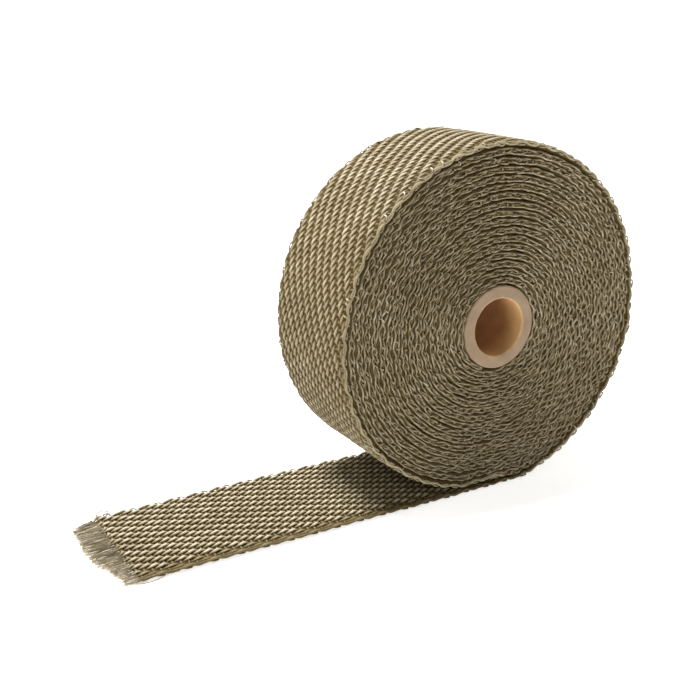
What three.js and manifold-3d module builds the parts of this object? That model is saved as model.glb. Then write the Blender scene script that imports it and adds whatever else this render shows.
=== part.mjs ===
// Roll of woven exhaust heat wrap on a cardboard tube, with its free end laid out on the floor.
// Millimetres, +Z up. The roll's axis lies along Y and the free end points to -X.
// The origin is on the floor, straight under the roll's axis and midway across the tape.
import * as THREE from 'three';
import { mergeVertices } from 'three/addons/utils/BufferGeometryUtils.js';
import Module from 'manifold-3d';

// Driving dimensions of the tape
const tapeWidth = 50;
const tapeThickness = 2.6;
const tapeEdgeChamfer = 0.7;
const tailLength = 146;
const tailEndWidth = 49;
const tailDrift = 2.5;

// Driving dimensions of the roll
const turnCount = 17;
const turnGap = 0.5;
const turnGrooveDepth = 1.5;
const floorSag = 1.8;
const outlineRise = 1.1;
const rollSegments = 36;

// Driving dimensions of the cardboard tube
const coreBore = 22.5;
const coreWall = 4.9;
const coreClearance = 0.3;
const coreEdgeChamfer = 0.4;
const coreSegments = 48;

// Sizes that follow from them
const coreInnerRadius = coreBore / 2;
const coreOuterRadius = coreInnerRadius + coreWall;
const turnPitch = tapeThickness + turnGap;
const windInnerRadius = coreOuterRadius + coreClearance;
const windOuterRadius = windInnerRadius + turnCount * turnPitch;
const windDepth = windOuterRadius - windInnerRadius;
const axisHeight = windOuterRadius - outlineRise - floorSag;
const halfWidth = tapeWidth / 2;
const flatTolerance = 1e-5;

// A closed profile given as radius and place along the axis, turned about the Y axis
function turnedRing(profile, segments) {
  const points = [...profile, profile[0]].map(([radius, along]) => new THREE.Vector2(radius, along));
  return positionOnly(new THREE.LatheGeometry(points, segments));
}

// Keeps the positions alone and merges the vertices that share one, so that the mesh is closed
function positionOnly(geometry) {
  geometry.deleteAttribute('normal');
  geometry.deleteAttribute('uv');
  return mergeVertices(geometry, 1e-4);
}

// One end of the winding from the bore outwards: every turn is a flat-crowned ridge,
// and the gap between two turns is a groove
function windingEnd() {
  const points = [[windInnerRadius, halfWidth - tapeEdgeChamfer]];
  for (let turn = 0; turn < turnCount; turn += 1) {
    const innerFace = windInnerRadius + turn * turnPitch;
    const outerFace = innerFace + turnPitch;
    const isLast = turn === turnCount - 1;
    points.push([innerFace + turnGap / 2 + tapeEdgeChamfer, halfWidth]);
    points.push([outerFace - turnGap / 2 - tapeEdgeChamfer, halfWidth]);
    points.push([outerFace, halfWidth - (isLast ? tapeEdgeChamfer : turnGrooveDepth)]);
  }
  return points;
}

// The outline radius at an angle counted from straight down towards +X: the tube sits
// a little below the outline's middle, and the outline goes no lower than the floor
function outlineRadius(angle) {
  const down = Math.cos(angle);
  const round = windOuterRadius - outlineRise * down;
  return down > 0 ? Math.min(round, axisHeight / down) : round;
}

// Moves each point of the round winding along its radius, so that all the turns share
// the outline's rise and its flat on the floor, and the bore stays round
function settleWinding(geometry) {
  const position = geometry.attributes.position;
  for (let index = 0; index < position.count; index += 1) {
    const x = position.getX(index);
    const z = position.getZ(index);
    const angle = Math.atan2(x, -z);
    const share = (Math.hypot(x, z) - windInnerRadius) / windDepth;
    const radius = windInnerRadius + share * (outlineRadius(angle) - windInnerRadius);
    const height = -radius * Math.cos(angle);
    position.setX(index, radius * Math.sin(angle));
    position.setZ(index, Math.abs(height + axisHeight) < flatTolerance ? -axisHeight : height);
  }
  return geometry;
}

function windingGeometry() {
  const farEnd = windingEnd();
  const nearEnd = farEnd.map(([radius, along]) => [radius, -along]);
  return settleWinding(turnedRing([...nearEnd, ...farEnd.reverse()], rollSegments));
}

// Narrows the free end towards its cut and lets it drift sideways, as the loose tape lies
function loosenTail(geometry) {
  const position = geometry.attributes.position;
  for (let index = 0; index < position.count; index += 1) {
    const share = -position.getX(index) / tailLength;
    const width = tapeWidth + share * (tailEndWidth - tapeWidth);
    position.setY(index, position.getY(index) * (width / tapeWidth) - share * tailDrift);
  }
  return geometry;
}

// The free end: the tape's section with chamfered edges, laid on the floor from under the axis
function tailGeometry() {
  const section = new THREE.Shape();
  section.moveTo(-halfWidth + tapeEdgeChamfer, 0);
  section.lineTo(halfWidth - tapeEdgeChamfer, 0);
  section.lineTo(halfWidth, tapeEdgeChamfer);
  section.lineTo(halfWidth, tapeThickness - tapeEdgeChamfer);
  section.lineTo(halfWidth - tapeEdgeChamfer, tapeThickness);
  section.lineTo(-halfWidth + tapeEdgeChamfer, tapeThickness);
  section.lineTo(-halfWidth, tapeThickness - tapeEdgeChamfer);
  section.lineTo(-halfWidth, tapeEdgeChamfer);
  const geometry = new THREE.ExtrudeGeometry(section, { depth: tailLength, bevelEnabled: false });
  geometry.applyMatrix4(new THREE.Matrix4().makeBasis(
    new THREE.Vector3(0, 1, 0),
    new THREE.Vector3(0, 0, 1),
    new THREE.Vector3(1, 0, 0),
  ));
  geometry.translate(-tailLength, 0, 0);
  return positionOnly(loosenTail(geometry).translate(0, 0, -axisHeight));
}

// The cardboard tube that the tape is wound on
function coreGeometry() {
  const chamfer = coreEdgeChamfer;
  return turnedRing([
    [coreOuterRadius, -halfWidth + chamfer],
    [coreOuterRadius, halfWidth - chamfer],
    [coreOuterRadius - chamfer, halfWidth],
    [coreInnerRadius + chamfer, halfWidth],
    [coreInnerRadius, halfWidth - chamfer],
    [coreInnerRadius, -halfWidth + chamfer],
    [coreInnerRadius + chamfer, -halfWidth],
    [coreOuterRadius - chamfer, -halfWidth],
  ], coreSegments);
}

// Joining of closed meshes
const wasm = await Module();
wasm.setup();

function toManifold(geometry) {
  const mesh = new wasm.Mesh({
    numProp: 3,
    vertProperties: new Float32Array(geometry.attributes.position.array),
    triVerts: new Uint32Array(geometry.index.array),
  });
  return new wasm.Manifold(mesh);
}

function toGeometry(manifold) {
  const mesh = manifold.getMesh();
  const geometry = new THREE.BufferGeometry();
  geometry.setAttribute('position', new THREE.BufferAttribute(mesh.vertProperties, 3));
  geometry.setIndex(new THREE.BufferAttribute(mesh.triVerts, 1));
  return geometry;
}

const wovenYarn = new THREE.MeshStandardMaterial({ color: '#93855f', roughness: 0.85, metalness: 0 });
const cardboard = new THREE.MeshStandardMaterial({ color: '#b8986a', roughness: 0.9, metalness: 0 });

// Wound turns and free end are one length of tape, so they are one solid
const wrapTape = new THREE.Mesh(
  toGeometry(toManifold(windingGeometry()).add(toManifold(tailGeometry()))),
  wovenYarn,
);
wrapTape.name = 'wrap_tape';

const coreTube = new THREE.Mesh(coreGeometry(), cardboard);
coreTube.name = 'core_tube';

// Both sit on the roll's axis, which the floor holds up
const heatWrapRoll = new THREE.Group();
heatWrapRoll.name = 'exhaust_heat_wrap';
heatWrapRoll.add(wrapTape, coreTube);
heatWrapRoll.position.set(0, 0, axisHeight);

export default heatWrapRoll;
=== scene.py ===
# Roll of woven exhaust heat wrap on a cardboard tube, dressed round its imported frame.
# Metres, +Z up. The tape is followed by three numbers: run (along it, 0 straight under the
# roll's axis and below 0 on the free end), across (over its width) and lift (off its middle
# surface, above 0 on the side that faces up on the free end and the axis on the roll).
import bpy
import numpy as np
from mathutils import Matrix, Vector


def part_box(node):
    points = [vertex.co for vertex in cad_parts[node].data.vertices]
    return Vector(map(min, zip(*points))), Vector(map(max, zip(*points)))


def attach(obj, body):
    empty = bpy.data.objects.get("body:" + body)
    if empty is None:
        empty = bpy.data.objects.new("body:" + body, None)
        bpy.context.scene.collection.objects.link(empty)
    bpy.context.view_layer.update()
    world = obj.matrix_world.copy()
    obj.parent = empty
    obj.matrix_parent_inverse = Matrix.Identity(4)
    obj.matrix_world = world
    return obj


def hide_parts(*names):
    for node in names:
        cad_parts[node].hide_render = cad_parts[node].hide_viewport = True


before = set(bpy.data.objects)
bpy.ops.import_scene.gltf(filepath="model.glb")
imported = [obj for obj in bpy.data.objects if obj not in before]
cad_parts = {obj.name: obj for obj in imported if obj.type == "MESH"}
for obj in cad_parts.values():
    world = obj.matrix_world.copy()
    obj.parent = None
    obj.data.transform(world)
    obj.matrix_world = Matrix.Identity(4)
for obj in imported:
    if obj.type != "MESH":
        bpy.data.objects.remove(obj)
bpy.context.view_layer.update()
mm = 0.001


# Sizes of the roll, from the frame and from what the tape is wound to
coreLow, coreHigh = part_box("core_tube")
wrapLow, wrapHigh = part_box("wrap_tape")
roll = {
    "axisHeight": (coreLow.z + coreHigh.z) / 2,
    "coreRadius": (coreHigh.x - coreLow.x) / 2,
    "coreClearance": 0.3 * mm,
    "halfWidth": coreHigh.y,
    "turnCount": 17,
    "windOuter": wrapHigh.x,
    "stepFrom": np.radians(285),  # each turn steps in by one pitch from here to the bottom
    "outward": 0.15 * mm,
    "endShort": np.radians(24),  # how far before the bottom the innermost end stops
    "pathStep": 0.25 * mm,
}
roll["outlineRise"] = wrapHigh.z - roll["axisHeight"] - roll["windOuter"]
roll["windInner"] = roll["coreRadius"] + roll["coreClearance"]
roll["turnPitch"] = (roll["windOuter"] - roll["windInner"]) / roll["turnCount"]

tail = {
    "length": -wrapLow.x,
    "height": 1.42 * mm,  # of the tape's middle surface over the floor
    # how far the tape's centreline has drifted sideways, and its width, at places on the floor
    "driftAt": np.array([-156, -146, -125, -105, -85, -35, 0, 30]) * mm,
    "drift": np.array([-3.0, -2.7, -2.4, -2.0, -1.4, -1.1, -0.5, 0]) * mm,
    "widthShare": np.array([0.96, 0.975, 0.975, 0.98, 1.0, 1.0, 1.0, 1.0]),
}

weave = {
    "endCount": 40,
    "endPitch": 1.26 * mm,
    "pickPitch": 2.43 * mm,
    "warpRise": 0.84 * mm,
    "warpSway": 0.38 * mm,
    "warpWide": 1.30 * mm,
    "warpThick": 0.98 * mm,
    "warpSteps": 9,  # to one wave of a warp end
    "warpSides": 6,
    "weftRise": 0.38 * mm,
    "weftSway": 0.12 * mm,
    "weftWide": 1.15 * mm,
    "weftThick": 0.72 * mm,
    "weftSteps": 8,  # to one wave of a weft pick
    "weftSides": 5,
    "edgeSteps": 7,  # round one weft loop at the edge
    "looseFarReach": 0.55 * mm,  # of the weft's loops on the free end
    "looseNearReach": 0.05 * mm,
    "cutReach": 2.0 * mm,
    "woundReach": 0.12 * mm,  # and on the roll
    "woundWeft": 0.66,  # how thick the weft is pulled there, as a share
    "edgeOver": 0.5,  # how much further the weft stands over the rim's last ends
    "edgePack": 0.50,  # how close the rim's last ends lie, as a share of the pitch
    "edgeDepth": 1.7 * mm,
    "edgeFlatter": 0.80,
    "rimEdgeFlatter": 0.45,
    "nearEdgeTight": 0.9,
    # painted light and shade at the edges: the least painted light of the tight edge ends, and how much paler the
    # outermost points are painted as lit
    "tightEdgeLight": 0.32,
    "rollEdgeLight": 0.80,  # how much painted light the outermost points get on the roll
    "looseEdgeLight": 0.32,  # and on the free end
    "rimFlatter": 0.12,
    "rimWider": 0.12,
    "sideShadeShare": 0.16,  # painted shade: how much less painted light the rim gets where it doesn't face up
    "rimEven": 0.05,  # how far the rim's painted light and shade are drawn to one level
    "rimTone": 0.70,
}
strand = {
    "levels": (0.78 * mm, -0.78 * mm, 0.0),
    "deep": (0.0, 0.0, 0.5 * mm),  # how far each lies inside the edge
    "proud": 0.25 * mm,
    "sway": 1.0 * mm,
    "wobble": 0.26 * mm,
    "stray": 2.2,  # how far each sway slips of itself, in radians
    "wide": 1.10 * mm,
    "thick": 0.66 * mm,
    "steps": 10,
    "sides": 5,
}
stroke = {
    "pitch": 3.1 * mm,
    "reach": (0.0 * mm, 0.70 * mm),  # how far the weft's turns stand past the last ends
    "half": (0.26 * mm, 0.70 * mm),
    "shift": 0.75 * mm,
    "lean": 0.6 * mm,
    "leanSpread": 0.55 * mm,
    "leg": 1.3 * mm,
    "wide": 0.75 * mm,
    "thick": 0.50 * mm,
    "steps": 7,
}
weave["wave"] = 4 * weave["pickPitch"]
weave["edgeAcross"] = weave["endPitch"] * (weave["endCount"] - 1) / 2


# A fixed sum of sine waves over two coordinates, between about -1 and 1, as a smooth uneven field.
# Each wave has its own random direction, length and phase, drawn once from the seed.
def smoothField(seed, shortest, longest, waves=7):
    draw = np.random.default_rng(seed)
    length = np.exp(draw.uniform(np.log(shortest), np.log(longest), waves))
    heading = draw.uniform(0, np.pi, waves)
    phase = draw.uniform(0, 2 * np.pi, waves)
    strength = draw.uniform(0.5, 1.0, waves)
    strength /= strength.sum() * 0.6

    def field(first, second):
        total = np.zeros(np.broadcast(first, second).shape)
        for k in range(waves):
            along = first * np.cos(heading[k]) + second * np.sin(heading[k])
            total += strength[k] * np.sin(2 * np.pi * along / length[k] + phase[k])
        return total

    return field


# The outline radius at an angle counted from straight down towards +X: the tube sits a little below
# the outline's middle, and the outline goes no lower than the floor
def outlineRadius(angle):
    down = np.cos(angle)
    floorRadius = np.where(down > 0.1, roll["axisHeight"] / np.maximum(down, 0.1), np.inf)
    return np.minimum(roll["windOuter"] - roll["outlineRise"] * down, floorRadius)


# The tape's middle surface as a spiral: each turn keeps its radius up to stepFrom and then falls by
# one pitch, as 3t^2 - 2t^3, to its end at the bottom. Every turn takes its share of the outline's
# rise and of its flat on the floor. Run is the arc length. Pinch is the share of its thickness that
# the innermost end keeps, where the next turn steps down over it.
def spiralPath():
    turns = np.linspace(0, 2 * np.pi * roll["turnCount"] - roll["endShort"], 17 * 720)
    whole = np.floor(turns / (2 * np.pi))
    step = np.clip((turns - 2 * np.pi * whole - roll["stepFrom"]) / (2 * np.pi - roll["stepFrom"]), 0, 1)
    step = step * step * (3 - 2 * step)
    pinch = np.where(whole > roll["turnCount"] - 1.5, 1 - step, 1)
    even = roll["windOuter"] + roll["outward"] - roll["turnPitch"] * (1 + whole + step - pinch / 2)
    even = even + roll["turnPitch"] * (1 - pinch)
    share = (even - roll["windInner"]) / (roll["windOuter"] - roll["windInner"])
    radius = roll["windInner"] + share * (outlineRadius(turns) - roll["windInner"])
    x = radius * np.sin(turns)
    z = roll["axisHeight"] - radius * np.cos(turns)
    run = np.concatenate([[0], np.cumsum(np.hypot(np.diff(x), np.diff(z)))])
    return run, turns, x, z, pinch


# The whole middle line at even steps: the free end on the floor, then the spiral, with its
# direction of travel, worked out once and read by interpolation
def middleLine():
    run, turns, x, z, pinch = spiralPath()
    even = np.arange(-tail["length"] - 30 * mm, run[-1], roll["pathStep"])
    floorZ = z[0] + (tail["height"] - z[0]) * np.clip(-even / (30 * mm), 0, 1)
    lineX = np.where(even < 0, even, np.interp(even, run, x))
    lineZ = np.where(even < 0, floorZ, np.interp(even, run, z))
    travelX = np.gradient(lineX)
    travelZ = np.gradient(lineZ)
    size = np.hypot(travelX, travelZ)
    turnAt = np.interp(even, run, turns)
    return {"run": even, "x": lineX, "z": lineZ, "tx": travelX / size, "tz": travelZ / size,
            "turn": np.where(even < 0, 0, turnAt), "end": run[-1],
            "pinch": np.interp(even, run, pinch),
            "firstTurn": np.interp(2 * np.pi, turns, run)}


line = middleLine()
alongField = smoothField(11, 9 * mm, 60 * mm)
acrossField = smoothField(12, 12 * mm, 70 * mm)
liftField = smoothField(13, 10 * mm, 45 * mm)
edgeField = smoothField(14, 18 * mm, 90 * mm)
wanderField = smoothField(15, 22 * mm, 120 * mm)
strayField = smoothField(17, 16 * mm, 80 * mm)
gapField = smoothField(16, 14 * mm, 60 * mm)
uneven = {
    "along": 0.35 * mm,
    "across": 0.28 * mm,
    "lift": 0.13 * mm,
    "telescope": 0.38 * mm,  # how far the turns stand in and out at the roll's ends
    "wander": 2.2 * mm,  # how far the wound weave slips along itself, so turns don't line up
    "gap": 0.26 * mm,  # how far a wound turn lies off its even place, which opens gaps
}


# How far a run is inside the wound turns, from 0 on the free end and outer turn to 1 behind them
def woundShare(run):
    return np.clip((run - line["firstTurn"]) / (30 * mm), 0, 1)


# Takes points from run, across and lift into the row frame. The loose tape's unevenness is added
# here, so warp and weft move together. Point = middle line + lift along its normal, with the
# across coordinate narrowed and drifted as the free end lies.
def onTape(run, across, lift):
    run, across, lift = np.broadcast_arrays(run, across, lift)
    wound = woundShare(run)
    onRoll = np.clip(run / (40 * mm), 0, 1)
    shiftedRun = run + uneven["along"] * alongField(run, across)
    shiftedRun = shiftedRun + wound * uneven["wander"] * wanderField(run, 0 * run)
    drift = np.interp(run, tail["driftAt"], tail["drift"])
    width = np.interp(run, tail["driftAt"], tail["widthShare"])
    y = across * width + drift + uneven["across"] * acrossField(run, across)
    y = y + uneven["telescope"] * edgeField(run, 0 * run) * onRoll
    raised = lift + onRoll * uneven["lift"] * liftField(run, across * 0.5)
    raised = raised + wound * uneven["gap"] * gapField(run, 0 * run)
    raised = raised * np.interp(run, line["run"], line["pinch"])
    x = np.interp(shiftedRun, line["run"], line["x"])
    z = np.interp(shiftedRun, line["run"], line["z"])
    tx = np.interp(shiftedRun, line["run"], line["tx"])
    tz = np.interp(shiftedRun, line["run"], line["tz"])
    point = np.stack([x - tz * raised, y, z + tx * raised], axis=-1)
    normal = np.stack([-tz, np.zeros_like(tz), tx], axis=-1)
    return point, normal


def unit(vectors):
    return vectors / np.maximum(np.linalg.norm(vectors, axis=-1, keepdims=True), 1e-12)


# Tubes along many paths at once. paths and normals are (yarns, steps, 3); a ring of the section
# cos, sin is laid at each step across the path: point = path + side * wide * cos + up * thick * sin,
# where side is square to the path and the fabric's normal, and up is square to both.
# Both ends of each yarn are closed with a flat face. Returns points, faces and the faces' UVs,
# with U along the yarn in metres and V round it from 0 to 1.
def sweepTubes(paths, normals, wide, thick, sides):
    yarns, steps, _ = paths.shape
    travel = unit(np.gradient(paths, axis=1))
    side = unit(np.cross(travel, normals))
    up = np.cross(side, travel)
    around = 2 * np.pi * np.arange(sides) / sides
    halfWide = (np.broadcast_to(wide, (yarns, steps)) / 2)[:, :, None, None]
    halfThick = (np.broadcast_to(thick, (yarns, steps)) / 2)[:, :, None, None]
    points = (paths[:, :, None, :]
              + side[:, :, None, :] * halfWide * np.cos(around)[None, None, :, None]
              + up[:, :, None, :] * halfThick * np.sin(around)[None, None, :, None])
    stepLength = np.linalg.norm(np.diff(paths, axis=1), axis=-1)
    alongYarn = np.concatenate([np.zeros((yarns, 1)), np.cumsum(stepLength, axis=1)], axis=1)
    first = np.arange(yarns)[:, None, None] * steps * sides
    step = np.arange(steps - 1)[None, :, None] * sides
    corner = np.arange(sides)[None, None, :]
    nextCorner = (corner + 1) % sides
    a = first + step + corner
    b = first + step + nextCorner
    quads = np.stack([a, b, b + sides, a + sides], axis=-1).reshape(-1, 4)
    u0 = np.broadcast_to(alongYarn[:, :-1, None], (yarns, steps - 1, sides))
    u1 = np.broadcast_to(alongYarn[:, 1:, None], (yarns, steps - 1, sides))
    v0 = np.broadcast_to(corner / sides, u0.shape)
    v1 = v0 + 1 / sides
    quadUv = np.stack([np.stack([u0, v0], -1), np.stack([u0, v1], -1),
                       np.stack([u1, v1], -1), np.stack([u1, v0], -1)], axis=3).reshape(-1, 4, 2)
    startCap = first[:, 0, 0][:, None] + np.arange(sides)[::-1][None, :]
    endCap = first[:, 0, 0][:, None] + (steps - 1) * sides + np.arange(sides)[None, :]
    caps = np.concatenate([startCap, endCap])
    return points.reshape(-1, 3), quads, quadUv, caps


# Puts arrays of points, quads and many-sided caps into one mesh object, with its UV map,
# its point attributes and its material, smooth shaded
def meshPiece(name, points, quads, quadUv, caps, attributes, material, flatCaps=True):
    mesh = bpy.data.meshes.new(name)
    capSides = caps.shape[1] if len(caps) else 0
    loops = np.concatenate([quads.ravel(), caps.ravel()]) if len(caps) else quads.ravel()
    starts = np.concatenate([np.arange(len(quads)) * 4,
                             len(quads) * 4 + np.arange(len(caps)) * capSides])
    totals = np.concatenate([np.full(len(quads), 4), np.full(len(caps), capSides)])
    mesh.vertices.add(len(points))
    mesh.vertices.foreach_set("co", points.astype(np.float32).ravel())
    mesh.loops.add(len(loops))
    mesh.loops.foreach_set("vertex_index", loops.astype(np.int32))
    mesh.polygons.add(len(starts))
    mesh.polygons.foreach_set("loop_start", starts.astype(np.int32))
    mesh.polygons.foreach_set("loop_total", totals.astype(np.int32))
    smooth = np.concatenate([np.ones(len(quads), bool), np.full(len(caps), not flatCaps)])
    mesh.polygons.foreach_set("use_smooth", smooth)
    uvLayer = mesh.uv_layers.new(name="yarnMap")
    capUv = np.zeros((len(caps) * capSides, 2))
    uvLayer.data.foreach_set("uv", np.concatenate([quadUv.reshape(-1, 2), capUv]).astype(np.float32).ravel())
    for key, values in attributes.items():
        layer = mesh.attributes.new(key, "FLOAT", "POINT")
        layer.data.foreach_set("value", values.astype(np.float32).ravel())
    mesh.update(calc_edges=True)
    mesh.validate()
    mesh.materials.append(material)
    piece = bpy.data.objects.new(name, mesh)
    bpy.context.collection.objects.link(piece)
    return piece


# A yarn piece rides on the row's one body and stands for the wound tape's solid
def finishTapePiece(piece):
    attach(piece, "root")
    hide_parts("wrap_tape")
    print("made", piece.name, len(piece.data.polygons), "faces")
    return piece


# Joins the tubes of one family into a piece. Shade is a random tone for each yarn. Each point also gets a
# level of painted light and shade: how far it stands out of the cloth, off its middle surface as a share of
# half the thickness or out towards the edge over the last few ends, whichever is more. Points deep in the
# cloth are painted dark as shade, and points that stand out are painted pale as lit.
def yarnPiece(name, run, across, lift, wide, thick, sides, material, seed, leastPaintedLight=0.0):
    paths, normals = onTape(run, across, lift)
    points, quads, quadUv, caps = sweepTubes(paths, normals, wide, thick, sides)
    points[:, 2] = np.maximum(points[:, 2], 0)
    yarns, steps = run.shape
    tone = np.random.default_rng(seed).uniform(0, 1, (yarns, 1, 1)) * np.ones((1, steps, sides))
    around = 2 * np.pi * np.arange(sides) / sides
    thickness = np.broadcast_to(thick, (yarns, steps))[:, :, None]
    rise = lift[:, :, None] + thickness / 2 * np.sin(around)[None, None, :]
    # painted shade: points deeper in the cloth get less painted light
    offFace = np.abs(rise) / (weave["warpRise"] + weave["warpThick"] / 2)
    sideways = points.reshape(yarns, steps, sides, 3)[..., 1] - paths[:, :, None, 1]
    # painted light: the outermost points past the last ends are painted paler, as if lit where they stand free
    pastEdge = np.abs(across[:, :, None] + sideways) - weave["edgeAcross"] + weave["edgeDepth"]
    edgeLight = weave["looseEdgeLight"] + onRim(run)[:, :, None] * (weave["rollEdgeLight"] - weave["looseEdgeLight"])
    offEdge = np.clip(pastEdge / (weave["edgeDepth"] + weave["warpWide"] / 2), 0, 1) * edgeLight
    paintedLight = np.maximum(np.maximum(offFace, offEdge), leastPaintedLight)
    # on the rim the painted light and shade are drawn towards one level
    paintedLight = paintedLight + weave["rimEven"] * onRim(run)[:, :, None] * (weave["rimTone"] - paintedLight)
    # painted shade on the rim where it faces sideways rather than up to the light
    aside = 1 - np.clip(1.2 * np.abs(np.interp(run, line["run"], line["tx"])), 0, 1)
    sideShade = weave["sideShadeShare"] * aside * onRim(run) * (1 - woundShare(run))
    paintedLight = paintedLight * (1 - sideShade[:, :, None])
    attributes = {"shade": tone, "paintedLight": paintedLight}
    return finishTapePiece(meshPiece(name, points, quads, quadUv, caps, attributes, material))


# Across place of a warp end, counted from the far edge
def endAcross(ends):
    return weave["edgeAcross"] - weave["endPitch"] * ends


# Phase of the weave's wave at a run and an across place: one wave is four picks long,
# and each end lies one pick behind its neighbour on the far side
def wavePhase(run, across):
    end = (weave["edgeAcross"] - across) / weave["endPitch"]
    return 2 * np.pi * (run - weave["pickPitch"] * end) / weave["wave"]


# How far a warp end belongs to a tight edge: on the roll 1 for the last two ends and 0 from the fourth
# on, and less on the free end, whose far edge is loose
def edgeTight(run, ends):
    fromEdge = np.minimum(ends, weave["endCount"] - 1 - ends)[:, None]
    nearSide = np.where(ends > weave["endCount"] / 2, weave["nearEdgeTight"], 0)[:, None]
    return np.maximum(np.clip(run / (30 * mm), 0, 1), nearSide) * np.clip((3 - fromEdge) / 2, 0, 1)


# How far a run is on the roll, where the tape is stretched over its rim and lies flatter
def onRim(run):
    return np.clip((run - 8 * mm) / (22 * mm), 0, 1)


# A warp end floats over two picks and under two. Lift is a cosine with flattened tops,
# cos p - 0.1 cos 3p, and the end sways sideways at twice the wave, so that each float leans as it is
# pushed by its neighbours. On the rim the ends lie wider and flatter, and flattest at its edges.
def warpYarns(name, ends, runStart, runStop, material, seed):
    ends = np.array(ends, float)
    across = endAcross(ends)[:, None]
    start = runStart if np.ndim(runStart) == 0 else np.min(runStart)
    steps = int(round((runStop - start) * weave["warpSteps"] / weave["wave"])) + 1
    share = np.linspace(0, 1, steps)[None, :]
    first = np.broadcast_to(np.asarray(runStart, float).reshape(-1, 1), (len(ends), 1))
    run = first + share * (runStop - first)
    tight = edgeTight(run, ends)
    rim = onRim(run)
    phase = wavePhase(run, across)
    packed = (weave["edgeAcross"] - np.abs(across)) * (1 - weave["edgePack"])
    across = across + 0.3 * tight * np.sign(across) * packed
    edgeFlatter = weave["edgeFlatter"] + rim * (weave["rimEdgeFlatter"] - weave["edgeFlatter"])
    flatter = (1 - weave["rimFlatter"] * rim) * (1 - edgeFlatter * tight)
    lift = weave["warpRise"] * flatter * (np.cos(phase) - 0.1 * np.cos(3 * phase)) / 0.9
    sway = across + weave["warpSway"] * (1 - 0.6 * tight) * np.sin(2 * phase)
    swell = 1 + 0.1 * np.cos(2 * phase)
    wide = weave["warpWide"] * swell * (1 + weave["rimWider"] * rim)
    thick = weave["warpThick"] * swell
    held, loose, sag, spread = looseEnd(run, ends, seed)
    lift = held * lift + (1 - held) * sag
    sway = held * sway + (1 - held) * across + loose
    wide = wide * (1 + (1 - held) * (spread - 1))
    thick = thick * (1 - 0.5 * (1 - held))
    # the loose ends and the tight edge ends get at least this much painted light
    leastPaintedLight = np.maximum(fringe["paintedLight"] * (1 - held), weave["tightEdgeLight"] * tight)
    return yarnPiece(name, run, sway, lift, wide, thick, weave["warpSides"], material, seed,
                     leastPaintedLight[:, :, None])


# The last ends at one edge of the wound turns, which are pressed into flat lines: each keeps to its own
# level of the turn's thickness and sways in and out of sight over two picks up and two down.
# Lift = level + wobble; across = edge - depth * (1 + sin p) / 2.
def edgeStrands(name, edge, runStart, runStop, material, seed):
    levels = np.array(strand["levels"])[:, None]
    deep = np.array(strand["deep"])[:, None]
    steps = int(round((runStop - runStart) * strand["steps"] / weave["wave"])) + 1
    run = np.linspace(runStart, runStop, steps)[None, :] + 0 * levels
    lane = np.arange(len(levels))[:, None] * 0.053 + edge * 0.2
    phase = 4 * np.pi * run / weave["wave"] + lane * 60 + strand["stray"] * strayField(run * 2, lane)
    lift = levels + strand["wobble"] * strayField(run * 5 + 0.3, lane)
    across = edge * (weave["edgeAcross"] + strand["proud"] - deep - strand["sway"] * (1 + np.sin(phase)) / 2)
    wide = strand["wide"] * (1 + 0.15 * np.sin(2 * phase))
    return yarnPiece(name, run, across, lift, wide, strand["thick"], strand["sides"], material, seed)


fringe = {
    "lengthAt": np.array([-25, -16, -8, 0, 8, 25]) * mm,
    "length": np.array([3.6, 5.4, 7.6, 9.2, 9.0, 8.0]) * mm,
    "uneven": 0.8 * mm,
    "letGo": 2.6 * mm,  # over which a warp end straightens past the last pick
    "farLean": 0.36,  # sideways over length, of the ends nearest the far edge
    "lean": 0.09,
    "bundleEnds": 3.7,  # ends that gather into one strand
    "bundle": 0.34 * mm,
    "spread": 0.62,
    "sag": 0.7 * mm,
    # painted light: the loose ends lie out of the cloth's shade and are painted at least this pale
    "paintedLight": 0.92,
    "fibres": 9,  # fine strands that each cut end has come apart into
    "fibreThick": 0.30 * mm,
    "fibreSpread": 0.62 * mm,
}


# Run of each warp end's cut tip
def fringeTips(ends, seed):
    across = endAcross(np.array(ends, float))
    length = np.interp(across, fringe["lengthAt"], fringe["length"])
    length = length + fringe["uneven"] * np.random.default_rng(seed).uniform(-1, 1, len(ends))
    return -tail["length"] - length


# How the warp ends lie past the last pick. Held falls from 1 to 0 as 3t^2 - 2t^3, loose is the sideways
# way from lean and from gathering into bundles, sag is where the end comes to lie, and spread how
# much wider it opens.
def looseEnd(run, ends, seed):
    draw = np.random.default_rng(seed + 300)
    past = np.maximum(-tail["length"] + 1.4 * mm - run, 0)
    share = np.clip(1 - past / fringe["letGo"], 0, 1)
    held = share * share * (3 - 2 * share)
    nearFarEdge = np.clip(1 - ends / 9, 0, 1)[:, None]
    lean = draw.uniform(-1, 1, (len(ends), 1)) * fringe["lean"] - fringe["farLean"] * nearFarEdge
    gather = -fringe["bundle"] * np.sin(2 * np.pi * ends / fringe["bundleEnds"])[:, None]
    loose = lean * past + gather * (1 - held)
    sag = draw.uniform(-1.0, 0.35, (len(ends), 1)) * fringe["sag"] - 0.04 * past
    spread = draw.uniform(0.95, 1.25, (len(ends), 1)) * fringe["spread"]
    return held, loose, sag, spread


# How far each loop of weft stands out past the last warp end: a random reach for each loop, longer
# on the far edge and longest there beside the cut, where the edge has worked loose
def loopReach(loopRun, farSide, seed):
    draw = np.random.default_rng(seed).uniform(0.6, 1.45, loopRun.shape)
    loose = np.where(farSide, weave["looseFarReach"], weave["looseNearReach"])
    usual = loose + onRim(loopRun) * (weave["woundReach"] - loose)
    cut = np.clip(1 - (loopRun + tail["length"]) / (9 * mm), 0, 1)
    return usual * draw + farSide * cut * weave["cutReach"]


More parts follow.
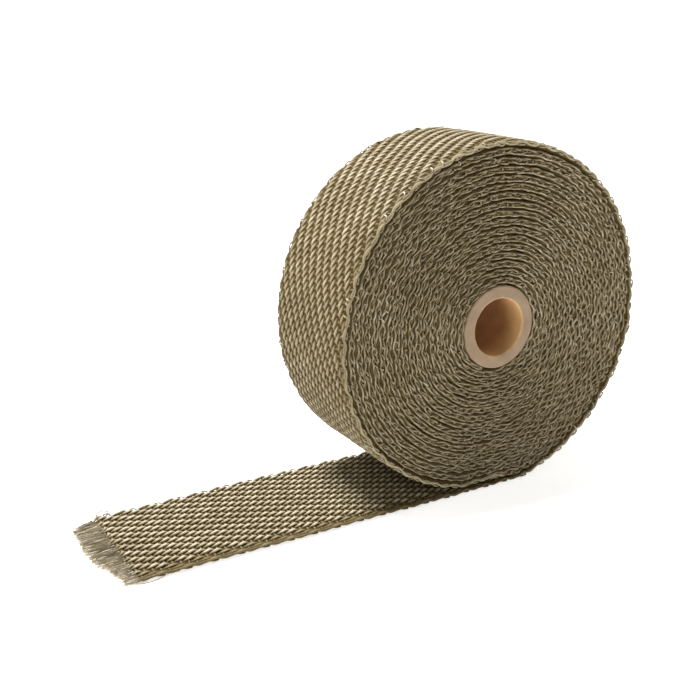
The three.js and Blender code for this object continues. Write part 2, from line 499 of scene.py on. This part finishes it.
# The weft goes over and back: picks laid straight across at even steps, joined by half loops round
# the last warp end. Across goes as a straight line, then as cos of the loop's angle; run as its sine.
def weftYarn(name, firstPick, lastPick, material, seed):
    picks = np.arange(firstPick, lastPick)
    waves = (weave["endCount"] + 1) / 4
    crossSteps = int(waves * weave["weftSteps"])
    limit = weave["edgeAcross"] + 0.35 * weave["endPitch"]
    cross = np.linspace(limit, -limit, crossSteps)
    toNear = np.where(picks % 2 == 0, 1.0, -1.0)[:, None]
    pickRun = (picks * weave["pickPitch"] + weave["pickPitch"] / 2)[:, None]
    straightAcross = toNear * cross[None, :]
    straightRun = pickRun + 0 * straightAcross
    turning = (np.arange(weave["edgeSteps"]) + 1) / (weave["edgeSteps"] + 1) * np.pi
    reach = loopReach(pickRun, toNear < 0, seed)
    loopAcross = -toNear * (limit + reach * np.sin(turning)[None, :])
    loopRun = pickRun + weave["pickPitch"] / 2 * (1 - np.cos(turning))[None, :]
    run = np.concatenate([straightRun, loopRun], axis=1)
    across = np.concatenate([straightAcross, loopAcross], axis=1)
    clipped = np.clip(across, -limit, limit)
    phase = wavePhase(run, clipped)
    nearEdge = np.clip((np.abs(across) - limit) / weave["endPitch"] + 2, 0, 1)
    lift = -weave["weftRise"] * np.cos(phase) * (1 + weave["edgeOver"] * nearEdge * onRim(run))
    sway = run + weave["weftSway"] * np.sin(2 * phase)
    pulled = 1 + nearEdge * (weave["woundWeft"] - 1)
    flat = (1, -1)
    return yarnPiece(name, sway.reshape(flat), across.reshape(flat), lift.reshape(flat),
                     (weave["weftWide"] * pulled).reshape(flat), (weave["weftThick"] * pulled).reshape(flat),
                     weave["weftSides"], material, seed)


# The weft's turns at one edge of the wound tape, over the thickness of each turn: every one is half an
# oval round the last ends, with a leg back into the cloth at each end. Lift is the cosine of the
# oval's angle and across its sine, and the stroke leans along the run by its own draw.
def edgeLoops(name, edge, runStart, runStop, material, seed):
    draw = np.random.default_rng(seed)
    count = int((runStop - runStart) / stroke["pitch"])
    loopRun = runStart + (np.arange(count) + draw.uniform(-0.35, 0.35, count)) * stroke["pitch"]
    lean = draw.normal(stroke["lean"], stroke["leanSpread"], (count, 1))
    reach = draw.uniform(*stroke["reach"], (count, 1))
    turning = np.linspace(0, np.pi, stroke["steps"])[None, :]
    round = np.sin(turning) ** 0.6
    across = edge * (weave["edgeAcross"] - stroke["leg"] + (stroke["leg"] + reach) * round)
    lift = draw.uniform(*stroke["half"], (count, 1)) * np.cos(turning)
    lift = lift + draw.uniform(-1, 1, (count, 1)) * stroke["shift"]
    run = loopRun[:, None] + lean * np.cos(turning)
    return yarnPiece(name, run, across, lift, stroke["wide"], stroke["thick"], 4, material, seed)


fuzz = {
    "thick": 0.13 * mm,
    "steps": 8,
    "tipFibres": 5,  # of each cut warp end
    "tipLength": 2.4 * mm,
    "edgeHairs": 170,  # along each edge
    "edgeLength": 2.6 * mm,
}


# Fine fibres as arcs: from run, across and lift each goes length along its heading and bends sideways
# as the square of the way, in the tape's own coordinates
def fibrePiece(name, run, across, lift, heading, length, bend, rising, material, seed, fibreThick=fuzz["thick"]):
    t = np.linspace(0, 1, fuzz["steps"])[None, :]
    way = length[:, None] * t
    curve = bend[:, None] * length[:, None] * t * t
    fibreRun = run[:, None] + way * np.cos(heading)[:, None] - curve * np.sin(heading)[:, None]
    fibreAcross = across[:, None] + way * np.sin(heading)[:, None] + curve * np.cos(heading)[:, None]
    fibreLift = lift[:, None] + rising[:, None] * way
    taper = fibreThick * (1 - 0.4 * t) + 0 * way
    # painted light: each fibre is painted at least this pale, at random, as it lies out of the cloth's shade
    least = np.random.default_rng(seed + 500).uniform(0.65, 1.10, (len(run), 1, 1))
    return yarnPiece(name, fibreRun, fibreAcross, fibreLift, taper, taper, 3, material, seed, least)


# The fine strands of the cut ends, from just inside the last pick out to about the cut tips
def cutStrands(ends, tips, material, seed):
    draw = np.random.default_rng(seed)
    count = len(ends) * fringe["fibres"]
    nearFarEdge = np.clip(1 - np.repeat(np.array(ends), fringe["fibres"]) / 9, 0, 1)
    from0 = -tail["length"] + draw.uniform(-1.5, 1.0, count) * mm
    across = np.repeat(endAcross(np.array(ends, float)), fringe["fibres"])
    across = across + draw.normal(0, 0.45, count) * fringe["fibreSpread"]
    heading = np.pi + fringe["farLean"] * nearFarEdge + draw.normal(0, 0.06, count)
    length = (from0 - np.repeat(tips, fringe["fibres"])) * draw.uniform(0.75, 1.12, count)
    return fibrePiece("cutStrands", from0, across, draw.uniform(-0.6, 0.75, count) * mm, heading, length,
                      draw.normal(0, 0.05, count), draw.normal(-0.03, 0.05, count), material, seed,
                      fringe["fibreThick"])


stray = {
    "steps": 30,
    "thick": 0.5 * mm,
    "loopAt": 3.4 * mm,  # of the loop's middle, in from the cut
    "loopHalf": 2.2 * mm,
    "loopHigh": 1.1 * mm,
    "threadLength": 21 * mm,
    "threadBow": 1.1 * mm,
}


# Two threads that have come loose beside the cut: a weft loop that stands up at the far edge, as a
# circle in run and lift, and an end that lies along the near edge, as a half sine in across
def strayThreads(material, seed):
    t = np.linspace(0, 1, stray["steps"])
    angle = 2 * np.pi * t - np.pi / 2
    loopRun = -tail["length"] + stray["loopAt"] + stray["loopHalf"] * np.cos(angle)
    threadRun = -tail["length"] - fringe["length"][0] - 3 * mm + stray["threadLength"] * t
    edge = weave["edgeAcross"]
    run = np.stack([loopRun, threadRun])
    across = np.stack([edge + 0.3 * mm + 0.9 * mm * t, -edge - stray["threadBow"] * np.sin(np.pi * t)])
    lift = np.stack([0.3 * mm + stray["loopHigh"] * (1 + np.sin(angle)),
                     -0.8 * mm + 0.5 * mm * np.sin(3 * np.pi * t)])
    thick = stray["thick"] * np.array([[1.0], [0.7]]) + 0 * run
    # painted light: the loose threads get a painted light of at least 0.8
    return yarnPiece("strayThreads", run, across, lift, thick, thick, 5, material, seed, 0.8)


# Fibres that stick out of the cut warp ends
def tipFuzz(ends, tips, material, seed):
    draw = np.random.default_rng(seed)
    count = len(ends) * fuzz["tipFibres"]
    tip = np.repeat(tips, fuzz["tipFibres"])
    past = -tail["length"] - tip
    nearFarEdge = np.clip(1 - np.repeat(np.array(ends), fuzz["tipFibres"]) / 9, 0, 1)
    across = np.repeat(endAcross(np.array(ends, float)), fuzz["tipFibres"]) - fringe["farLean"] * nearFarEdge * past
    across = across + draw.uniform(-0.5, 0.5, count) * mm
    return fibrePiece("fringeFuzz", tip + draw.uniform(0.2, 1.5, count) * mm, across,
                      draw.uniform(-0.7, 0.3, count) * mm, np.pi + draw.normal(0, 0.35, count),
                      fuzz["tipLength"] * draw.uniform(0.5, 1.3, count), draw.normal(0, 0.3, count),
                      draw.uniform(-0.2, 0.3, count), material, seed)


# Stray fibres along one edge of the tape, thicker set on the free end and the outer turn
def edgeFuzz(name, edge, material, seed):
    draw = np.random.default_rng(seed)
    count = fuzz["edgeHairs"]
    run = -tail["length"] + (line["end"] + tail["length"]) * draw.uniform(0, 1, count) ** 2.2
    across = edge * (weave["edgeAcross"] + draw.uniform(-0.3, 0.9, count) * mm)
    heading = draw.uniform(0, 2 * np.pi, count)
    return fibrePiece(name, run, across, draw.uniform(-0.9, 0.9, count) * mm, heading,
                      fuzz["edgeLength"] * draw.uniform(0.4, 1.4, count), draw.normal(0, 0.6, count),
                      draw.uniform(-0.3, 0.3, count), material, seed)


body = {
    "thinThick": 0.35 * mm,  # where real yarns lie on both sides of it
    "rimThick": 1.95 * mm,
    "rimShift": 0.475 * mm,  # inwards, against the next turn
    "fullThick": 2.85 * mm,  # in the wound turns behind their edges
    "thinHalf": 24.2 * mm,
    "fullHalf": 23.7 * mm,
    "stepLength": 5 * mm,
    # painted light of the body, low so that it shows dark as painted shade between the yarns and behind the wound
    # edges
    "thinPaintedLight": 0.1,
    "rimPaintedLight": 0.12,
    "fullPaintedLight": 0.36,
}


# The inside of the tape as one ribbon with a rounded section, from the cut to the innermost turn:
# a thin layer between the yarns that show, and the turn's full thickness behind the wound edges.
# Section point = across * half width, lift * half thickness, on a rounded rectangle.
def tapeBody(material):
    run = np.arange(-tail["length"] + 1 * mm, line["end"] - 2 * mm, body["stepLength"])
    full = np.clip((run - line["firstTurn"]) / (25 * mm), 0, 1)
    half = body["thinHalf"] + full * (body["fullHalf"] - body["thinHalf"])
    thin = body["thinThick"] + onRim(run) * (body["rimThick"] - body["thinThick"])
    thick = thin + full * (body["fullThick"] - thin)
    sectionAcross = np.array([-1, -0.985, 0, 0.985, 1, 0.985, 0, -0.985])
    sectionLift = np.array([0, 1, 1, 1, 0, -1, -1, -1]) / 2
    across = half[:, None] * sectionAcross[None, :]
    shift = body["rimShift"] * onRim(run) * (1 - full)
    lift = thick[:, None] * sectionLift[None, :] + shift[:, None]
    points, _ = onTape(run[:, None] + 0 * across, across, lift)
    steps, sides = across.shape
    a = np.arange(steps - 1)[:, None] * sides + np.arange(sides)[None, :]
    b = np.arange(steps - 1)[:, None] * sides + (np.arange(sides)[None, :] + 1) % sides
    quads = np.stack([a, a + sides, b + sides, b], axis=-1).reshape(-1, 4)
    u = np.stack([run[:-1], run[1:], run[1:], run[:-1]], axis=-1)[:, None, :] + 0 * sectionLift[None, :, None]
    v = np.stack([sectionAcross, sectionAcross, np.roll(sectionAcross, -1), np.roll(sectionAcross, -1)], axis=-1)
    quadUv = np.stack([u, np.broadcast_to(v[None], u.shape)], axis=-1).reshape(-1, 4, 2)
    caps = np.stack([np.arange(sides), (steps - 1) * sides + np.arange(sides)[::-1]])
    # painted shade: the body is painted dark, as the shade between and behind the yarns
    paintedLight = body["thinPaintedLight"] + onRim(run) * (body["rimPaintedLight"] - body["thinPaintedLight"])
    paintedLight = (paintedLight + full * (body["fullPaintedLight"] - paintedLight))[:, None] + 0 * across
    attributes = {"shade": np.full(steps * sides, 0.4), "paintedLight": paintedLight}
    return finishTapePiece(meshPiece("tapeBody", points.reshape(-1, 3), quads, quadUv, caps, attributes, material))


# Materials
def newMaterial(name):
    material = bpy.data.materials.new(name)
    material.use_nodes = True
    nodes = material.node_tree.nodes
    nodes.clear()
    output = nodes.new("ShaderNodeOutputMaterial")
    shader = nodes.new("ShaderNodeBsdfPrincipled")
    material.node_tree.links.new(shader.outputs[0], output.inputs[0])
    return material, nodes, material.node_tree.links, shader


yarnLook = {
    # colour against a point's painted light: dark as painted shade in the cloth and pale as painted light on the
    # floats' crowns
    "paintedLightAt": (0.12, 0.50, 0.80, 1.0),
    "colours": ((0.070, 0.048, 0.014, 1), (0.185, 0.141, 0.070, 1),
                (0.345, 0.284, 0.175, 1), (0.57, 0.51, 0.39, 1)),
    "patchiness": 0.22,
    "streakiness": 0.30,
    "toneSpread": 0.14,
    "roughness": 0.6,
    "specular": 0.1,
}


def mathNode(nodes, links, operation, first, second=None, third=None, clamp=False):
    node = nodes.new("ShaderNodeMath")
    node.operation = operation
    node.use_clamp = clamp
    for place, value in enumerate((first, second, third)):
        if value is None:
            continue
        if isinstance(value, (int, float)):
            node.inputs[place].default_value = value
        else:
            links.new(value, node.inputs[place])
    return node.outputs[0]


def yarnMaterial(name, look):
    material, nodes, links, shader = newMaterial(name)
    paintedLight = nodes.new("ShaderNodeAttribute")
    paintedLight.attribute_name = "paintedLight"
    shade = nodes.new("ShaderNodeAttribute")
    shade.attribute_name = "shade"
    uvMap = nodes.new("ShaderNodeUVMap")
    uvMap.uv_map = "yarnMap"
    split = nodes.new("ShaderNodeSeparateXYZ")
    links.new(uvMap.outputs[0], split.inputs[0])
    # fibres wind round the yarn: lines of equal V plus run over the lay
    turned = mathNode(nodes, links, "MULTIPLY_ADD", split.outputs[0], 160.0, split.outputs[1])
    streakPlace = nodes.new("ShaderNodeCombineXYZ")
    links.new(mathNode(nodes, links, "MULTIPLY", split.outputs[0], 120.0), streakPlace.inputs[0])
    links.new(mathNode(nodes, links, "MULTIPLY", turned, 9.0), streakPlace.inputs[1])
    links.new(mathNode(nodes, links, "MULTIPLY", shade.outputs["Fac"], 40.0), streakPlace.inputs[2])
    streak = nodes.new("ShaderNodeTexNoise")
    streak.inputs["Scale"].default_value = 1.0
    streak.inputs["Detail"].default_value = 3.0
    links.new(streakPlace.outputs[0], streak.inputs["Vector"])
    patch = nodes.new("ShaderNodeTexNoise")
    patch.inputs["Scale"].default_value = 55.0
    patch.inputs["Detail"].default_value = 4.0
    objectPlace = nodes.new("ShaderNodeTexCoord")
    links.new(objectPlace.outputs["Object"], patch.inputs["Vector"])
    # the ramp's level starts from the painted light and shade, with patches, streaks and each yarn's tone over it
    level = paintedLight.outputs["Fac"]
    for source, share in ((patch, look["patchiness"]), (streak, look["streakiness"]), (shade, look["toneSpread"])):
        centred = mathNode(nodes, links, "SUBTRACT", source.outputs["Fac"], 0.5)
        level = mathNode(nodes, links, "MULTIPLY_ADD", centred, share, level)
    ramp = nodes.new("ShaderNodeValToRGB")
    stops = ramp.color_ramp.elements
    while len(stops) < len(look["paintedLightAt"]):
        stops.new(0.5)
    for stop, position, colour in zip(stops, look["paintedLightAt"], look["colours"]):
        stop.position = position
        stop.color = colour
    links.new(level, ramp.inputs["Fac"])
    links.new(ramp.outputs["Color"], shader.inputs["Base Color"])
    bump = nodes.new("ShaderNodeBump")
    bump.inputs["Strength"].default_value = 0.35
    bump.inputs["Distance"].default_value = 0.0002
    links.new(streak.outputs["Fac"], bump.inputs["Height"])
    links.new(bump.outputs["Normal"], shader.inputs["Normal"])
    shader.inputs["Roughness"].default_value = look["roughness"]
    shader.inputs["Specular IOR Level"].default_value = look["specular"]
    return material


core = {
    "edgeRound": 0.5 * mm,
    "wall": 4.9 * mm,
    "segments": 160,
    "seamDepth": 0.12 * mm,
    "seamWidth": 0.5 * mm,
    "seamLead": 62 * mm,
}


# The tube as a closed grid: a rounded rectangle of radius and along-axis place, turned round the axis.
# A shallow seam winds along the bore where the board's inner strip meets itself.
def coreTube(material):
    outer = roll["coreRadius"]
    inner = outer - core["wall"]
    half = roll["halfWidth"]
    bend = np.linspace(0, np.pi / 2, 4)
    r = core["edgeRound"]
    cornerR = r * np.cos(bend)
    cornerY = r * np.sin(bend)
    boreY = np.linspace(half - r, -half + r, 40)[1:-1]
    profileR = np.concatenate([outer - r + cornerR, np.linspace(outer - r, inner + r, 6)[1:-1],
                               inner + r - cornerR[::-1], np.full(boreY.shape, inner),
                               inner + r - cornerR, np.linspace(inner + r, outer - r, 6)[1:-1],
                               outer - r + cornerR[::-1]])
    profileY = np.concatenate([half - r + cornerY, np.full(4, half), half - r + cornerY[::-1], boreY,
                               -half + r - cornerY, np.full(4, -half), -half + r - cornerY[::-1]])
    angle = 2 * np.pi * np.arange(core["segments"]) / core["segments"]
    y = profileY[:, None] + 0 * angle[None, :]
    radius = profileR[:, None] + 0 * angle[None, :]
    offSeam = (y / core["seamLead"] + angle[None, :] / (2 * np.pi) + 0.5) % 1.0 - 0.5
    seam = np.exp(-(offSeam * core["seamLead"] / core["seamWidth"]) ** 2)
    atBore = np.clip((inner + 0.6 * r - radius) / (0.6 * r), 0, 1)
    wear = smoothField(31, 4 * mm, 18 * mm)
    atEnd = np.clip((np.abs(y) - (half - 1.2 * r)) / r, 0, 1)
    y = y - np.sign(y) * atEnd * 0.12 * mm * (1 + wear(radius * angle, radius * 3))
    radius = radius + atBore * core["seamDepth"] * seam
    points = np.stack([radius * np.sin(angle), y, roll["axisHeight"] + radius * np.cos(angle)], axis=-1)
    rows, columns = radius.shape
    a = (np.arange(rows)[:, None]) * columns + np.arange(columns)[None, :]
    b = (np.arange(rows)[:, None]) * columns + (np.arange(columns)[None, :] + 1) % columns
    a2 = ((np.arange(rows)[:, None] + 1) % rows) * columns + np.arange(columns)[None, :]
    b2 = ((np.arange(rows)[:, None] + 1) % rows) * columns + (np.arange(columns)[None, :] + 1) % columns
    quads = np.stack([a, b, b2, a2], axis=-1).reshape(-1, 4)
    quadUv = np.zeros((len(quads), 4, 2))
    attributes = {}
    piece = meshPiece("cardboardTube", points.reshape(-1, 3), quads, quadUv, np.zeros((0, 4), int),
                      attributes, material)
    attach(piece, "root")
    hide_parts("core_tube")
    print("made", piece.name, len(piece.data.polygons), "faces")
    return piece


boardLook = {
    "endColour": (0.290, 0.203, 0.125, 1),
    "litMouthColour": (0.60, 0.37, 0.155, 1),
    "shadedBoreColour": (0.32, 0.150, 0.043, 1),
    "shadeDepth": 11 * mm,  # over which the bore darkens inwards, from painted light at its near mouth to painted shade
    "staining": 0.7,
    "roughness": 0.85,
}


def boardMaterial():
    material, nodes, links, shader = newMaterial("cardboard")
    place = nodes.new("ShaderNodeTexCoord")
    fibre = nodes.new("ShaderNodeTexNoise")
    fibre.inputs["Scale"].default_value = 900.0
    fibre.inputs["Detail"].default_value = 5.0
    links.new(place.outputs["Object"], fibre.inputs["Vector"])
    centred = nodes.new("ShaderNodeMapping")
    centred.inputs["Location"].default_value = (0, 0, -roll["axisHeight"])
    links.new(place.outputs["Object"], centred.inputs["Vector"])
    split = nodes.new("ShaderNodeSeparateXYZ")
    links.new(centred.outputs[0], split.inputs[0])
    radius = mathNode(nodes, links, "SQRT", mathNode(
        nodes, links, "ADD", mathNode(nodes, links, "POWER", split.outputs[0], 2.0),
        mathNode(nodes, links, "POWER", split.outputs[2], 2.0)))
    ply = mathNode(nodes, links, "SINE", mathNode(nodes, links, "MULTIPLY", radius, 2 * np.pi / (0.55 * mm)))
    inner = roll["coreRadius"] - core["wall"]
    inBore = mathNode(nodes, links, "MULTIPLY_ADD", radius, -1 / (0.5 * mm), (inner + 0.55 * mm) / (0.5 * mm), clamp=True)
    mix = nodes.new("ShaderNodeMix")
    mix.data_type = "RGBA"
    links.new(inBore, mix.inputs["Factor"])
    mix.inputs["A"].default_value = boardLook["endColour"]
    # painted light at the bore's near mouth, going over to painted shade deeper in
    depth = mathNode(nodes, links, "MULTIPLY_ADD", split.outputs[1], 1 / boardLook["shadeDepth"],
                     roll["halfWidth"] / boardLook["shadeDepth"], clamp=True)
    boreShading = nodes.new("ShaderNodeMix")
    boreShading.data_type = "RGBA"
    links.new(depth, boreShading.inputs["Factor"])
    boreShading.inputs["A"].default_value = boardLook["litMouthColour"]
    boreShading.inputs["B"].default_value = boardLook["shadedBoreColour"]
    links.new(boreShading.outputs["Result"], mix.inputs["B"])
    stain = nodes.new("ShaderNodeTexNoise")
    stain.inputs["Scale"].default_value = 160.0
    stain.inputs["Detail"].default_value = 6.0
    links.new(place.outputs["Object"], stain.inputs["Vector"])
    tone = nodes.new("ShaderNodeHueSaturation")
    links.new(mathNode(nodes, links, "MULTIPLY_ADD", stain.outputs["Fac"], boardLook["staining"],
                       1 - boardLook["staining"] / 2), tone.inputs["Value"])
    links.new(mix.outputs["Result"], tone.inputs["Color"])
    links.new(tone.outputs["Color"], shader.inputs["Base Color"])
    bump = nodes.new("ShaderNodeBump")
    bump.inputs["Strength"].default_value = 0.4
    bump.inputs["Distance"].default_value = 0.0002
    height = mathNode(nodes, links, "MULTIPLY_ADD", ply, 0.3, fibre.outputs["Fac"])
    links.new(height, bump.inputs["Height"])
    links.new(bump.outputs["Normal"], shader.inputs["Normal"])
    shader.inputs["Roughness"].default_value = boardLook["roughness"]
    return material


# Camera, floor and light
view = {
    "azimuth": np.radians(-30.9015),
    "elevation": np.radians(18.0846),
    "roll": np.radians(0.7469),
    "place": (-0.23986, -0.31611, 0.17832),
    "focalPixels": 1030.53,
    "framePixels": 700,
    "sensor": 36.0,
}


# The camera's own axes: back from the azimuth and elevation, right square to it and level,
# then both turned by the roll
def addCamera():
    azimuth, elevation, turn = view["azimuth"], view["elevation"], view["roll"]
    back = np.array([np.sin(azimuth) * np.cos(elevation), -np.cos(azimuth) * np.cos(elevation), np.sin(elevation)])
    level = unit(np.cross([0, 0, 1], back))
    rise = np.cross(back, level)
    right = np.cos(turn) * level + np.sin(turn) * rise
    up = -np.sin(turn) * level + np.cos(turn) * rise
    data = bpy.data.cameras.new("camera")
    data.sensor_width = view["sensor"]
    data.lens = view["sensor"] * view["focalPixels"] / view["framePixels"]
    data.clip_start = 0.01
    data.clip_end = 20
    camera = bpy.data.objects.new("camera", data)
    bpy.context.collection.objects.link(camera)
    matrix = Matrix.Identity(4)
    for row in range(3):
        matrix[row][0], matrix[row][1], matrix[row][2] = right[row], up[row], back[row]
        matrix[row][3] = view["place"][row]
    camera.matrix_world = matrix
    bpy.context.scene.camera = camera


lights = {
    "key": {"place": (-0.42, 0.36, 1.38), "aim": (0, 0, 0.05), "size": 0.45, "power": 34.0},
    "fill": {"place": (-0.7, -1.1, 0.8), "aim": (0, 0, 0.05), "size": 0.9, "power": 2.5},
}
backdrop = {
    "tone": 0.9,
    "glow": 0.70,  # light of its own, which leaves only the closest shadows
    "skyStrength": 0.26,
    "reach": 3.0,
    "foldAt": 1.4,
    "foldRadius": 0.5,
    "height": 3.0,
}


def addLight(name, light):
    data = bpy.data.lights.new(name, "AREA")
    data.shape = "DISK"
    data.size = light["size"]
    data.energy = light["power"]
    lamp = bpy.data.objects.new(name, data)
    bpy.context.collection.objects.link(lamp)
    back = unit(np.array(light["place"]) - np.array(light["aim"]))
    right = unit(np.cross([0, 1, 0.001], back))
    up = np.cross(back, right)
    matrix = Matrix.Identity(4)
    for row in range(3):
        matrix[row][0], matrix[row][1], matrix[row][2] = right[row], up[row], back[row]
        matrix[row][3] = light["place"][row]
    lamp.matrix_world = matrix


# A sheet of paper: level floor, a quarter circle fold behind the roll, then an upright wall
def addFloor():
    mesh = bpy.data.meshes.new("floor")
    bend = np.linspace(0, np.pi / 2, 24)
    y = np.concatenate([[-backdrop["reach"]], backdrop["foldAt"] + backdrop["foldRadius"] * np.sin(bend)])
    z = np.concatenate([[0], backdrop["foldRadius"] * (1 - np.cos(bend))])
    y = np.append(y, y[-1])
    z = np.append(z, backdrop["height"])
    rows = len(y)
    points = [(side * backdrop["reach"], y[k], z[k]) for side in (-1, 1) for k in range(rows)]
    mesh.from_pydata(points, [], [(k, k + rows, k + rows + 1, k + 1) for k in range(rows - 1)])
    mesh.polygons.foreach_set("use_smooth", np.ones(rows - 1, bool))
    material, nodes, links, shader = newMaterial("whitePaper")
    shader.inputs["Base Color"].default_value = (backdrop["tone"],) * 3 + (1,)
    shader.inputs["Roughness"].default_value = 0.9
    shader.inputs["Specular IOR Level"].default_value = 0.0
    shader.inputs["Emission Color"].default_value = (1, 1, 1, 1)
    shader.inputs["Emission Strength"].default_value = backdrop["glow"]
    mesh.materials.append(material)
    floor = bpy.data.objects.new("floor", mesh)
    bpy.context.collection.objects.link(floor)


def addSky():
    world = bpy.data.worlds.new("sky")
    bpy.context.scene.world = world
    world.use_nodes = True
    nodes, links = world.node_tree.nodes, world.node_tree.links
    background = nodes["Background"]
    background.inputs["Color"].default_value = (1, 1, 1, 1)
    # seen straight on the sky is as white as the paper, but it lights the roll by skyStrength only
    seen = nodes.new("ShaderNodeLightPath")
    strength = mathNode(nodes, links, "MULTIPLY_ADD", seen.outputs["Is Camera Ray"],
                        1 - backdrop["skyStrength"], backdrop["skyStrength"])
    links.new(strength, background.inputs["Strength"])


addCamera()
addSky()
addFloor()
for lightName, lightValues in lights.items():
    addLight(lightName, lightValues)
bpy.context.scene.view_settings.view_transform = "Standard"
print("camera, floor and lights are in place")

yarn = yarnMaterial("twistedYarn", yarnLook)
board = boardMaterial()

fullStart = -tail["length"]
fullStop = line["firstTurn"] + 6 * mm
lastPick = int(fullStop / weave["pickPitch"])
firstPick = int(np.ceil(fullStart / weave["pickPitch"]))
farEnds = list(range(0, weave["endCount"] // 2))
nearEnds = list(range(weave["endCount"] // 2, weave["endCount"]))
farTips = fringeTips(farEnds, 41)
nearTips = fringeTips(nearEnds, 42)
pieces = [
    warpYarns("warpFarHalf", farEnds, farTips, fullStop, yarn, 21),
    warpYarns("warpNearHalf", nearEnds, nearTips, fullStop, yarn, 22),
    cutStrands(farEnds + nearEnds, np.concatenate([farTips, nearTips]), yarn, 46),
    tipFuzz(farEnds + nearEnds, np.concatenate([farTips, nearTips]), yarn, 43),
    strayThreads(yarn, 47),
    edgeFuzz("farEdgeFuzz", 1.0, yarn, 44),
    edgeFuzz("nearEdgeFuzz", -1.0, yarn, 45),
    weftYarn("weftFreeEnd", firstPick, 0, yarn, 23),
    weftYarn("weftOuterTurn", 0, lastPick, yarn, 24),
    edgeStrands("woundFarEnds", 1.0, line["firstTurn"], line["end"] - 1 * mm, yarn, 25),
    edgeStrands("woundNearEnds", -1.0, line["firstTurn"], line["end"] - 1 * mm, yarn, 26),
    edgeLoops("woundFarLoops", 1.0, 25 * mm, line["end"] - 1 * mm, yarn, 27),
    edgeLoops("woundNearLoops", -1.0, 25 * mm, line["end"] - 1 * mm, yarn, 28),
]
clothBody = tapeBody(yarn)
coreTube(board)
